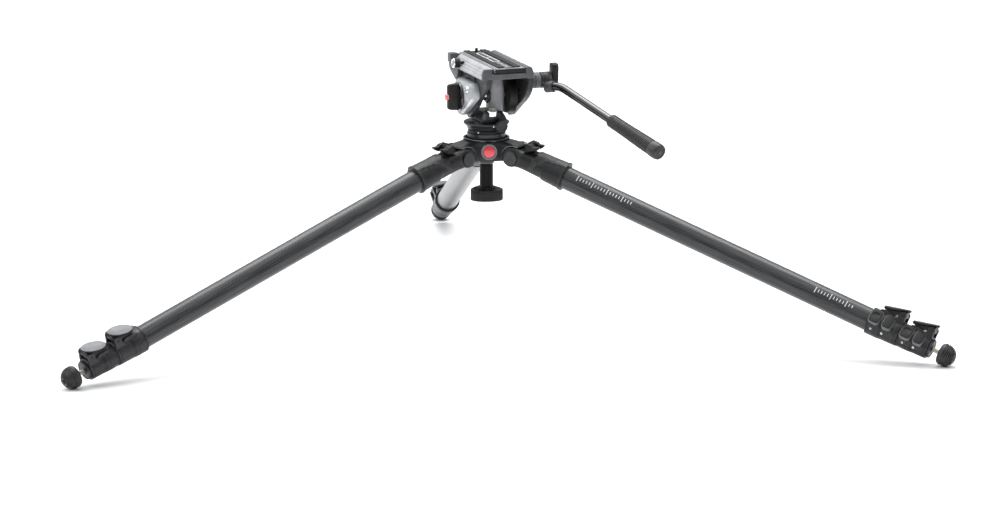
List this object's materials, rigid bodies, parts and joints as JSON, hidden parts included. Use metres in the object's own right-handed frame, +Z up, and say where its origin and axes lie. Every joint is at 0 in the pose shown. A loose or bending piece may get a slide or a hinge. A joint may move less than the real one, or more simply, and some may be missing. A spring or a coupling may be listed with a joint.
{
  "type": "tripod with fluid head",
  "caption": "Low-standing carbon camera tripod with telescopic lever-lock legs, levelling half ball and a pan and tilt video head with sliding plate and pan bar",
  "frame": {"origin": "middle of the footprint on the floor", "axes": "+X to the right seen from the front, +Y along the rear leg, +Z up"},
  "size_m": [1.2788, 1.1116, 0.399],
  "materials": {
    "casting": "black powder-coated die casting, fine grain",
    "black_plastic": "moulded black technopolymer, fine texture",
    "carbon": "woven carbon fibre under a clear satin resin",
    "lever": "satin light grey, slightly dished",
    "dark_steel": "blackened steel, satin",
    "steel": "bright plated steel",
    "rubber": "black rubber, ribbed",
    "alloy": "anodised alloy, fine blasted",
    "head_paint": "dark grey satin paint over an alloy casting",
    "satin_grey": "satin metallic grey cover",
    "gloss_black": "gloss black anodised tube",
    "white_plastic": "white moulded plastic"
  },
  "bodies": {
    "hub": {"spider": "casting", "bowl_ring": "casting", "leg_left_pivot_pin": "dark_steel", "leg_right_pivot_pin": "dark_steel", "leg_rear_pivot_pin": "dark_steel"},
    "ball_liner": {"bowl_liner": "black_plastic"},
    "ball": {"half_ball": "alloy", "head_base": "black_plastic"},
    "clamp": {"clamp_cup": "alloy"},
    "tie_down": {"tie_down_knob": "black_plastic"},
    "pan": {"pan_housing": "head_paint", "tilt_drum": "satin_grey"},
    "pan_lock": {"pan_lock_knob": "black_plastic"},
    "tilt": {"tilt_frame": "head_paint", "tilt_shaft": "steel", "tilt_cover": "satin_grey"},
    "tilt_lock": {"tilt_lock_knob": "black_plastic"},
    "plate_lock": {"plate_lock_knob": "dark_steel"},
    "plate_release": {"plate_release_button": "white_plastic"},
    "plate": {"sliding_plate": "alloy", "plate_pad": "rubber"},
    "screw": {"camera_screw": "steel"},
    "pin": {"video_pin": "black_plastic"},
    "bar": {"pan_bar_clamp": "head_paint", "pan_bar": "gloss_black", "pan_bar_grip": "rubber"},
    "wing": {"pan_bar_wing_screw": "black_plastic"},
    "leg_left": {"leg_left_casting": "casting", "leg_left_upper_tube": "carbon", "leg_left_upper_lock": "casting"},
    "leg_left_catch": {"leg_left_angle_catch": "black_plastic"},
    "leg_left_middle": {"leg_left_middle_tube": "carbon", "leg_left_lower_lock": "casting"},
    "leg_left_lower": {"leg_left_lower_tube": "carbon", "leg_left_foot_stud": "steel"},
    "leg_left_foot": {"leg_left_rubber_foot": "rubber"},
    "leg_left_upper_lever_body": {"leg_left_upper_lever": "lever"},
    "leg_left_lower_lever_body": {"leg_left_lower_lever": "lever"},
    "leg_right": {"leg_right_casting": "casting", "leg_right_upper_tube": "carbon", "leg_right_upper_lock": "casting"},
    "leg_right_catch": {"leg_right_angle_catch": "black_plastic"},
    "leg_right_middle": {"leg_right_middle_tube": "carbon", "leg_right_lower_lock": "casting"},
    "leg_right_lower": {"leg_right_lower_tube": "carbon", "leg_right_foot_stud": "steel"},
    "leg_right_foot": {"leg_right_rubber_foot": "rubber"},
    "leg_right_upper_lever_body": {"leg_right_upper_lever": "lever"},
    "leg_right_lower_lever_body": {"leg_right_lower_lever": "lever"},
    "leg_rear": {"leg_rear_casting": "casting", "leg_rear_upper_tube": "carbon", "leg_rear_upper_lock": "casting"},
    "leg_rear_catch": {"leg_rear_angle_catch": "black_plastic"},
    "leg_rear_middle": {"leg_rear_middle_tube": "carbon", "leg_rear_lower_lock": "casting"},
    "leg_rear_lower": {"leg_rear_lower_tube": "carbon", "leg_rear_foot_stud": "steel"},
    "leg_rear_foot": {"leg_rear_rubber_foot": "rubber"},
    "leg_rear_upper_lever_body": {"leg_rear_upper_lever": "lever"},
    "leg_rear_lower_lever_body": {"leg_rear_lower_lever": "lever"}
  },
  "joints": [
    {"name": "leg_left_spread", "type": "hinge", "parent": "hub", "child": "leg_left", "pos_m": [-0.0433, -0.2048, 0.25517], "axis": [-0.5, 0.866, 0], "range_deg": [-70, 18]},
    {"name": "leg_left_catch_press", "type": "hinge", "parent": "leg_left", "child": "leg_left_catch", "pos_m": [-0.06168, -0.21541, 0.26619], "axis": [0.5, -0.866, 0], "range_deg": [0, 9], "stiffness_Nm_per_rad": 0.6, "springref_deg": -5.73},
    {"name": "leg_left_middle_slide", "type": "slide", "parent": "leg_left", "child": "leg_left_middle", "axis": [-0.8158, -0.471, -0.3355], "range_m": [0, 0.44]},
    {"name": "leg_left_lower_slide", "type": "slide", "parent": "leg_left_middle", "child": "leg_left_lower", "axis": [-0.8158, -0.471, -0.3355], "range_m": [0, 0.44]},
    {"name": "leg_left_foot_screw", "type": "slide", "parent": "leg_left_lower", "child": "leg_left_foot", "axis": [0.8158, 0.471, 0.3355], "range_m": [0, 0.011]},
    {"name": "leg_left_upper_lever_turn", "type": "hinge", "parent": "leg_left", "child": "leg_left_upper_lever_body", "pos_m": [-0.56371, -0.51312, 0.06676], "axis": [0.5582, -0.7931, -0.2438], "range_deg": [0, 80]},
    {"name": "leg_left_lower_lever_turn", "type": "hinge", "parent": "leg_left_middle", "child": "leg_left_lower_lever_body", "pos_m": [-0.60174, -0.53444, 0.04908], "axis": [0.5582, -0.7931, -0.2438], "range_deg": [0, 80]},
    {"name": "leg_right_spread", "type": "hinge", "parent": "hub", "child": "leg_right", "pos_m": [0.0433, -0.2048, 0.25517], "axis": [0.5, 0.866, 0], "range_deg": [-18, 70]},
    {"name": "leg_right_catch_press", "type": "hinge", "parent": "leg_right", "child": "leg_right_catch", "pos_m": [0.06168, -0.21541, 0.26619], "axis": [0.5, 0.866, 0], "range_deg": [0, 9], "stiffness_Nm_per_rad": 0.6, "springref_deg": -5.73},
    {"name": "leg_right_middle_slide", "type": "slide", "parent": "leg_right", "child": "leg_right_middle", "axis": [0.8158, -0.471, -0.3355], "range_m": [0, 0.44]},
    {"name": "leg_right_lower_slide", "type": "slide", "parent": "leg_right_middle", "child": "leg_right_lower", "axis": [0.8158, -0.471, -0.3355], "range_m": [0, 0.44]},
    {"name": "leg_right_foot_screw", "type": "slide", "parent": "leg_right_lower", "child": "leg_right_foot", "axis": [-0.8158, 0.471, 0.3355], "range_m": [0, 0.011]},
    {"name": "leg_right_upper_lever_turn", "type": "hinge", "parent": "leg_right", "child": "leg_right_upper_lever_body", "pos_m": [0.57051, -0.50133, 0.06676], "axis": [0.4078, 0.8799, -0.2438], "range_deg": [0, 80]},
    {"name": "leg_right_lower_lever_turn", "type": "hinge", "parent": "leg_right_middle", "child": "leg_right_lower_lever_body", "pos_m": [0.608, -0.5236, 0.04908], "axis": [0.4078, 0.8799, -0.2438], "range_deg": [0, 80]},
    {"name": "leg_rear_spread", "type": "hinge", "parent": "hub", "child": "leg_rear", "pos_m": [0, -0.1298, 0.25517], "axis": [1, 0, 0], "range_deg": [-70, 18]},
    {"name": "leg_rear_catch_press", "type": "hinge", "parent": "leg_rear", "child": "leg_rear_catch", "pos_m": [0, -0.10857, 0.26619], "axis": [-1, 0, 0], "range_deg": [0, 9], "stiffness_Nm_per_rad": 0.6, "springref_deg": -5.73},
    {"name": "leg_rear_middle_slide", "type": "slide", "parent": "leg_rear", "child": "leg_rear_middle", "axis": [0, 0.9421, -0.3355], "range_m": [0, 0.44]},
    {"name": "leg_rear_lower_slide", "type": "slide", "parent": "leg_rear_middle", "child": "leg_rear_lower", "axis": [0, 0.9421, -0.3355], "range_m": [0, 0.44]},
    {"name": "leg_rear_foot_screw", "type": "slide", "parent": "leg_rear_lower", "child": "leg_rear_foot", "axis": [0, -0.9421, 0.3355], "range_m": [0, 0.011]},
    {"name": "leg_rear_upper_lever_turn", "type": "hinge", "parent": "leg_rear", "child": "leg_rear_upper_lever_body", "pos_m": [-0.00681, 0.47504, 0.06676], "axis": [-0.9659, -0.0868, -0.2438], "range_deg": [0, 80]},
    {"name": "leg_rear_lower_lever_turn", "type": "hinge", "parent": "leg_rear_middle", "child": "leg_rear_lower_lever_body", "pos_m": [-0.00626, 0.51864, 0.04908], "axis": [-0.9659, -0.0868, -0.2438], "range_deg": [0, 80]},
    {"name": "level_side", "type": "hinge", "parent": "hub", "child": "ball_liner", "pos_m": [0, -0.1798, 0.284], "axis": [1, 0, 0], "range_deg": [-7, 7]},
    {"name": "level_fore", "type": "hinge", "parent": "ball_liner", "child": "ball", "pos_m": [0, -0.1798, 0.284], "axis": [0, 1, 0], "range_deg": [-7, 7]},
    {"name": "tie_down_turn", "type": "hinge", "parent": "clamp", "child": "tie_down", "pos_m": [0, -0.1798, 0.284], "axis": [0, 0, 1], "range_deg": [0, 540]},
    {"name": "clamp_drop", "type": "slide", "parent": "ball", "child": "clamp", "axis": [0, 0, -1], "range_m": [0, 0.0019]},
    {"name": "pan_turn", "type": "hinge", "parent": "ball", "child": "pan", "pos_m": [0, -0.1798, 0.2923], "axis": [0, 0, 1], "continuous": true},
    {"name": "pan_lock_turn", "type": "hinge", "parent": "pan", "child": "pan_lock", "pos_m": [0, -0.1798, 0.3005], "axis": [0.4825, -0.8759, 0], "range_deg": [0, 270]},
    {"name": "tilt_turn", "type": "hinge", "parent": "pan", "child": "tilt", "pos_m": [0, -0.1798, 0.342], "axis": [0.9709, 0.2394, 0], "range_deg": [-60, 25]},
    {"name": "tilt_lock_turn", "type": "hinge", "parent": "tilt", "child": "tilt_lock", "pos_m": [0, -0.1798, 0.342], "axis": [-0.9709, -0.2394, 0], "range_deg": [0, 120]},
    {"name": "plate_slide", "type": "slide", "parent": "tilt", "child": "plate", "axis": [-0.2394, 0.9709, 0], "range_m": [-0.03, 0.03]},
    {"name": "plate_lock_turn", "type": "hinge", "parent": "tilt", "child": "plate_lock", "pos_m": [-0.00742, -0.1497, 0.3865], "axis": [-0.9709, -0.2394, 0], "range_deg": [0, 270]},
    {"name": "plate_release_press", "type": "slide", "parent": "tilt", "child": "plate_release", "axis": [0.9709, 0.2394, 0], "range_m": [0, 0.0018], "stiffness_N_per_m": 900, "springref_m": -0.0015},
    {"name": "camera_screw_slide", "type": "slide", "parent": "plate", "child": "screw", "axis": [-0.2394, 0.9709, 0], "range_m": [-0.025, 0.025]},
    {"name": "video_pin_press", "type": "slide", "parent": "plate", "child": "pin", "axis": [0, 0, -1], "range_m": [0, 0.0035], "stiffness_N_per_m": 300, "springref_m": -0.002},
    {"name": "bar_angle", "type": "hinge", "parent": "tilt", "child": "bar", "pos_m": [0.0091, -0.21669, 0.366], "axis": [0.9709, 0.2394, 0], "range_deg": [-120, 10]},
    {"name": "wing_turn", "type": "hinge", "parent": "bar", "child": "wing", "pos_m": [0.0091, -0.21669, 0.366], "axis": [-0.9709, -0.2394, 0], "range_deg": [0, 170]}
  ],
  "couplings": [
    {"joint": "clamp_drop", "follows": "tie_down_turn", "m_per_rad": 0.00019894}
  ]
}
